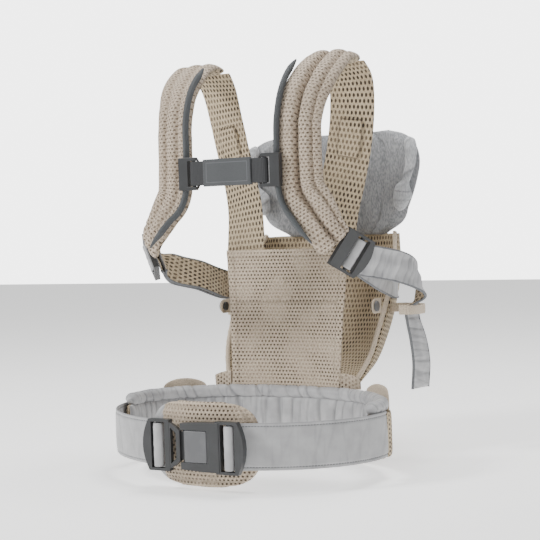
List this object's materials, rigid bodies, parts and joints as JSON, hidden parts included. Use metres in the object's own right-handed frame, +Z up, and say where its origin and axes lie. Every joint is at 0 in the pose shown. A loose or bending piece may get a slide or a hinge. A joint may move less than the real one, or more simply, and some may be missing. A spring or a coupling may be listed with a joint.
{
  "type": "soft baby carrier",
  "caption": "Soft structured baby carrier with padded shoulder straps, mesh seat pouch, fold-down head support, sliding chest strap and a buckled waist belt.",
  "frame": {"origin": "centre of the waist loop, at mid height of the belt strap", "axes": "+Z up, +Y the way the wearer faces (the baby's side), -Y the wearer's back with the waist buckle, +X the wearer's right"},
  "size_m": [0.3099, 0.3665, 0.4363],
  "materials": {
    "beige_spacer_mesh": "knitted spacer mesh, matt",
    "light_grey_nylon": "woven nylon, slight sheen",
    "white_foam": "soft foam, matt",
    "grey_melange_jersey": "melange jersey knit, matt",
    "dark_grey_acetal": "moulded, fine grain",
    "dark_grey_webbing": "woven webbing, matt",
    "spring_steel": "drawn wire"
  },
  "bodies": {
    "carrier": {"baby_pouch": "beige_spacer_mesh", "belt_flap_left": "beige_spacer_mesh", "belt_flap_right": "beige_spacer_mesh", "belt_strap_left": "light_grey_nylon", "belt_strap_right": "light_grey_nylon", "belt_strap_wrap_right": "light_grey_nylon", "button_spring_lower": "spring_steel", "button_spring_upper": "spring_steel", "front_panel": "beige_spacer_mesh", "front_strap_left": "beige_spacer_mesh", "front_strap_patch_left": "beige_spacer_mesh", "front_strap_patch_right": "beige_spacer_mesh", "front_strap_right": "beige_spacer_mesh", "panel_tab_left": "beige_spacer_mesh", "panel_tab_right": "beige_spacer_mesh", "pouch_binding_left": "beige_spacer_mesh", "pouch_binding_right": "beige_spacer_mesh", "shoulder_cover_left": "beige_spacer_mesh", "shoulder_cover_right": "beige_spacer_mesh", "shoulder_foam_left": "white_foam", "shoulder_foam_right": "white_foam", "shoulder_lining_left": "beige_spacer_mesh", "shoulder_lining_right": "beige_spacer_mesh", "side_strap_end_left": "light_grey_nylon", "side_strap_end_right": "light_grey_nylon", "side_strap_left": "light_grey_nylon", "side_strap_right": "light_grey_nylon", "snap_socket_left": "dark_grey_acetal", "snap_socket_right": "dark_grey_acetal", "snap_tab_left": "beige_spacer_mesh", "snap_tab_right": "beige_spacer_mesh", "strap_keeper_left": "beige_spacer_mesh", "strap_keeper_right": "beige_spacer_mesh", "strap_rail_left": "dark_grey_webbing", "strap_rail_right": "dark_grey_webbing", "waist_belt_cover": "beige_spacer_mesh", "waist_belt_foam": "white_foam", "waist_belt_lining": "light_grey_nylon", "waist_belt_roll": "light_grey_nylon", "waist_buckle_housing": "dark_grey_acetal"},
    "chest_strap": {"chest_clip_right": "dark_grey_acetal", "chest_clip_left": "dark_grey_acetal", "chest_webbing": "dark_grey_webbing", "chest_label": "dark_grey_webbing"},
    "buckle_tongue": {"waist_buckle_tongue": "dark_grey_acetal", "belt_strap_wrap_left": "light_grey_nylon"},
    "buckle_button": {"waist_buckle_button": "dark_grey_acetal"},
    "adjuster_right": {"strap_adjuster_right": "dark_grey_acetal", "side_strap_wrap_right": "light_grey_nylon"},
    "adjuster_left": {"strap_adjuster_left": "dark_grey_acetal", "side_strap_wrap_left": "light_grey_nylon"},
    "lumbar_pad": {"lumbar_pad_cover": "beige_spacer_mesh", "lumbar_pad_foam": "white_foam", "lumbar_pad_lining": "beige_spacer_mesh"},
    "head_support": {"head_support_cover": "grey_melange_jersey", "head_support_foam": "white_foam", "head_support_lining": "grey_melange_jersey"},
    "snap_right": {"snap_cap_right": "dark_grey_acetal"},
    "snap_left": {"snap_cap_left": "dark_grey_acetal"}
  },
  "joints": [
    {"name": "chest_strap_slide", "type": "slide", "parent": "carrier", "child": "chest_strap", "axis": [0, 0, 1], "range_m": [0, 0.03]},
    {"name": "buckle_tongue_slide", "type": "slide", "parent": "carrier", "child": "buckle_tongue", "axis": [-1, 0, 0], "range_m": [0, 0.045]},
    {"name": "buckle_button_press", "type": "slide", "parent": "carrier", "child": "buckle_button", "axis": [0, 1, 0], "range_m": [0, 0.002], "stiffness_N_per_m": 500, "springref_m": -0.0005, "deforming": ["button_spring_upper", "button_spring_lower"]},
    {"name": "adjuster_right_hinge", "type": "hinge", "parent": "carrier", "child": "adjuster_right", "pos_m": [0.11438, -0.01154, 0.18909], "axis": [-0.486, -0.2358, -0.8416], "range_deg": [0, 32]},
    {"name": "adjuster_left_hinge", "type": "hinge", "parent": "carrier", "child": "adjuster_left", "pos_m": [-0.11438, -0.01154, 0.18909], "axis": [-0.486, 0.2358, 0.8416], "range_deg": [0, 32]},
    {"name": "lumbar_pad_slide", "type": "hinge", "parent": "carrier", "child": "lumbar_pad", "pos_m": [0, 0.09416, 0], "axis": [0, 0, 1], "range_deg": [-6, 6]},
    {"name": "head_support_fold", "type": "hinge", "parent": "carrier", "child": "head_support", "pos_m": [0, 0.245, 0.198], "axis": [-1, 0, 0], "range_deg": [0, 150]},
    {"name": "snap_right_pull", "type": "slide", "parent": "carrier", "child": "snap_right", "axis": [1, 0, 0], "range_m": [0, 0.005]},
    {"name": "snap_left_pull", "type": "slide", "parent": "carrier", "child": "snap_left", "axis": [-1, 0, 0], "range_m": [0, 0.005]}
  ]
}
